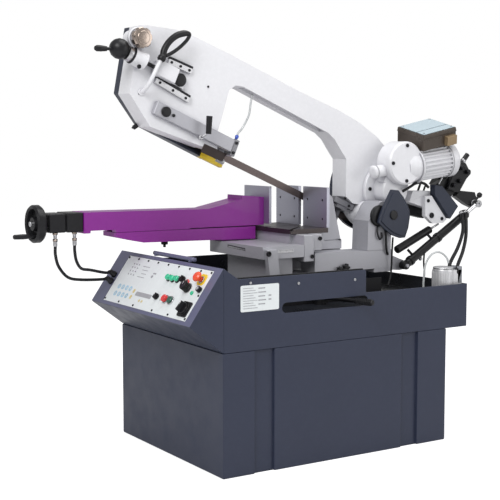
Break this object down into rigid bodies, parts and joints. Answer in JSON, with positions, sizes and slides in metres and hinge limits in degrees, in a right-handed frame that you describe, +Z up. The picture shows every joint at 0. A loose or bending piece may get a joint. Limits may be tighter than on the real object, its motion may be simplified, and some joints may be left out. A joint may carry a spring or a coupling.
{
  "type": "band saw",
  "caption": "Horizontal mitre band saw on a sheet-metal base: raised white saw bow with gear motor, long purple vise, sloping control console and lift cylinder.",
  "frame": {"origin": "on the floor under the centre of the base cabinet", "axes": "+X along the machine from the console end to the bow pivot end, +Z up, -Y towards the operator's long side"},
  "size_m": [2.223, 0.9228, 1.7216],
  "materials": {
    "graphite_paint": "satin",
    "console_paint": "satin",
    "white_paint": "satin",
    "shield_paint": "satin",
    "purple_paint": "satin",
    "machined_cast_iron": "machined",
    "ground_steel": "ground",
    "oiled_steel": "oiled",
    "bright_steel": "polished",
    "band_steel": "satin",
    "black_plastic": "satin",
    "black_metal": "satin",
    "yellow_paint": "satin",
    "panel_white": "matt",
    "aluminium": "cast",
    "terminal_box_grey": "satin",
    "green_plastic": "gloss",
    "dark_green_plastic": "gloss",
    "red_plastic": "gloss",
    "stop_red": "gloss",
    "nickel_bronze": "polished"
  },
  "bodies": {
    "base": {"base_cabinet": "graphite_paint", "chip_tray": "graphite_paint", "control_console": "console_paint", "control_panel": "panel_white", "vise_bed": "machined_cast_iron", "bed_support_leg": "machined_cast_iron", "table_plate": "oiled_steel", "fixed_jaw_near": "ground_steel", "jaw_bracket_near": "machined_cast_iron", "fixed_jaw_far": "ground_steel", "jaw_bracket_far": "machined_cast_iron", "vise_rail": "purple_paint", "leadscrew_nut": "bright_steel", "turntable_base": "machined_cast_iron", "coolant_pump": "aluminium"},
    "vise": {"vise_ram": "purple_paint", "movable_jaw_plate": "ground_steel", "clamp_cylinder": "black_metal"},
    "handwheel": {"vise_handwheel": "black_metal", "vise_leadscrew": "bright_steel"},
    "mitre_lock": {"mitre_lock_lever": "black_metal"},
    "swivel": {"swivel_arm": "machined_cast_iron", "pivot_column": "machined_cast_iron", "pivot_shaft": "bright_steel", "pivot_guard": "shield_paint"},
    "cylinder": {"lift_cylinder": "black_metal"},
    "piston": {"lift_rod": "bright_steel"},
    "bow": {"bow_casting": "white_paint", "idler_wheel_cover": "shield_paint", "drive_wheel_cover": "shield_paint", "saw_band": "band_steel", "right_blade_guide": "black_metal", "gearbox": "white_paint", "drive_motor": "aluminium", "terminal_box": "terminal_box_grey", "bow_handle": "black_plastic", "rear_lever_arm": "white_paint", "rear_channel_cover": "shield_paint", "hydraulic_block": "black_metal", "cylinder_arm": "black_metal"},
    "tension": {"tension_block": "white_paint"},
    "tension_screw": {"tension_knob": "black_metal"},
    "idler": {"idler_wheel": "machined_cast_iron"},
    "drive": {"drive_wheel": "machined_cast_iron"},
    "guide": {"guide_bar": "machined_cast_iron", "left_blade_guide": "black_metal", "blade_guard": "yellow_paint"},
    "guide_clamp": {"guide_clamp_lever": "black_plastic"},
    "tension_lock": {"lock_knob": "nickel_bronze"},
    "green_right_control": {"green_button_right": "green_plastic"},
    "green_middle_control": {"green_button_middle": "green_plastic"},
    "green_left_control": {"green_button_left": "green_plastic"},
    "mode_selector_control": {"mode_selector": "black_plastic"},
    "speed_dial_control": {"speed_dial": "black_plastic"},
    "emergency_stop_control": {"emergency_stop_button": "stop_red"},
    "feed_control": {"feed_knob": "black_plastic"},
    "pump_selector_control": {"pump_selector": "black_plastic"},
    "stop_control": {"stop_button": "red_plastic"},
    "start_control": {"start_button": "dark_green_plastic"},
    "main_switch_control": {"main_switch_knob": "black_plastic"}
  },
  "joints": [
    {"name": "vise_slide", "type": "slide", "parent": "base", "child": "vise", "axis": [1, 0, 0], "range_m": [-0.2, 0.12]},
    {"name": "handwheel_turn", "type": "hinge", "parent": "vise", "child": "handwheel", "pos_m": [-1.024, 0.21, 0.943], "axis": [1, 0, 0], "range_deg": [-7200, 4320]},
    {"name": "mitre_lock_turn", "type": "hinge", "parent": "base", "child": "mitre_lock", "pos_m": [0.02, -0.25, 0.6003], "axis": [0, 0, 1], "range_deg": [-70, 8]},
    {"name": "mitre_swivel", "type": "hinge", "parent": "base", "child": "swivel", "pos_m": [0.165, 0.085, 0.7148], "axis": [0, 0, 1], "range_deg": [0, 45]},
    {"name": "bow_tilt", "type": "hinge", "parent": "swivel", "child": "bow", "pos_m": [0.43, 0, 0.95], "axis": [0, 1, 0], "range_deg": [-23.4, 8]},
    {"name": "cylinder_swing", "type": "hinge", "parent": "swivel", "child": "cylinder", "pos_m": [0.6, -0.09, 0.712], "axis": [0, 1, 0], "range_deg": [-24, 9]},
    {"name": "cylinder_stroke", "type": "slide", "parent": "cylinder", "child": "piston", "axis": [0.8531, 0, 0.5218], "range_m": [-0.045, 0.122]},
    {"name": "tension_slide", "type": "slide", "parent": "bow", "child": "tension", "axis": [0.9178, 0, -0.3971], "range_m": [0, 0.012]},
    {"name": "tension_knob_turn", "type": "hinge", "parent": "bow", "child": "tension_screw", "pos_m": [-0.78028, -0.05, 1.61539], "axis": [-0.9178, 0, 0.3971], "range_deg": [0, 2160]},
    {"name": "idler_spin", "type": "hinge", "parent": "tension", "child": "idler", "pos_m": [-0.51872, 0.085, 1.5022], "axis": [0, 1, 0], "continuous": true},
    {"name": "drive_spin", "type": "hinge", "parent": "bow", "child": "drive", "pos_m": [0.52752, 0.085, 1.04945], "axis": [0, 1, 0], "continuous": true},
    {"name": "guide_slide", "type": "slide", "parent": "bow", "child": "guide", "axis": [0.9178, 0, -0.3971], "range_m": [0, 0.2]},
    {"name": "guide_clamp_turn", "type": "hinge", "parent": "bow", "child": "guide_clamp", "pos_m": [-0.39077, -0.0455, 1.29428], "axis": [0, 1, 0], "range_deg": [-35, 35]},
    {"name": "lock_knob_turn", "type": "hinge", "parent": "bow", "child": "tension_lock", "pos_m": [-0.70201, -0.0603, 1.65779], "axis": [0, -1, 0], "continuous": true},
    {"name": "green_button_right_press", "type": "slide", "parent": "base", "child": "green_right_control", "axis": [0.8168, 0, -0.5769], "range_m": [0, 0.004]},
    {"name": "green_button_middle_press", "type": "slide", "parent": "base", "child": "green_middle_control", "axis": [0.8168, 0, -0.5769], "range_m": [0, 0.004]},
    {"name": "green_button_left_press", "type": "slide", "parent": "base", "child": "green_left_control", "axis": [0.8168, 0, -0.5769], "range_m": [0, 0.004]},
    {"name": "mode_selector_turn", "type": "hinge", "parent": "base", "child": "mode_selector_control", "pos_m": [-0.59135, -0.2, 0.73592], "axis": [-0.8168, 0, 0.5769], "range_deg": [-45, 45]},
    {"name": "speed_dial_turn", "type": "hinge", "parent": "base", "child": "speed_dial_control", "pos_m": [-0.60865, -0.266, 0.71142], "axis": [-0.8168, 0, 0.5769], "range_deg": [-135, 135]},
    {"name": "emergency_stop_button_press", "type": "slide", "parent": "base", "child": "emergency_stop_control", "axis": [0.8168, 0, -0.5769], "range_m": [0, 0.006]},
    {"name": "feed_knob_turn", "type": "hinge", "parent": "base", "child": "feed_control", "pos_m": [-0.60692, -0.354, 0.71387], "axis": [-0.8168, 0, 0.5769], "range_deg": [-135, 135]},
    {"name": "pump_selector_turn", "type": "hinge", "parent": "base", "child": "pump_selector_control", "pos_m": [-0.645, -0.083, 0.65996], "axis": [-0.8168, 0, 0.5769], "range_deg": [-45, 45]},
    {"name": "stop_button_press", "type": "slide", "parent": "base", "child": "stop_control", "axis": [0.8168, 0, -0.5769], "range_m": [0, 0.004]},
    {"name": "start_button_press", "type": "slide", "parent": "base", "child": "start_control", "axis": [0.8168, 0, -0.5769], "range_m": [0, 0.004]},
    {"name": "main_switch_knob_turn", "type": "hinge", "parent": "base", "child": "main_switch_control", "pos_m": [-0.65711, -0.325, 0.64281], "axis": [-0.8168, 0, 0.5769], "range_deg": [0, 90]}
  ],
  "couplings": [
    {"joint": "vise_slide", "follows": "handwheel_turn", "m_per_rad": 0.0015915},
    {"joint": "tension_slide", "follows": "tension_knob_turn", "m_per_rad": 0.00031831},
    {"joint": "cylinder_swing", "follows": "bow_tilt", "ratio": 0.97},
    {"joint": "cylinder_stroke", "follows": "bow_tilt", "m_per_rad": -0.2887},
    {"joint": "idler_spin", "follows": "drive_spin", "ratio": 1}
  ]
}
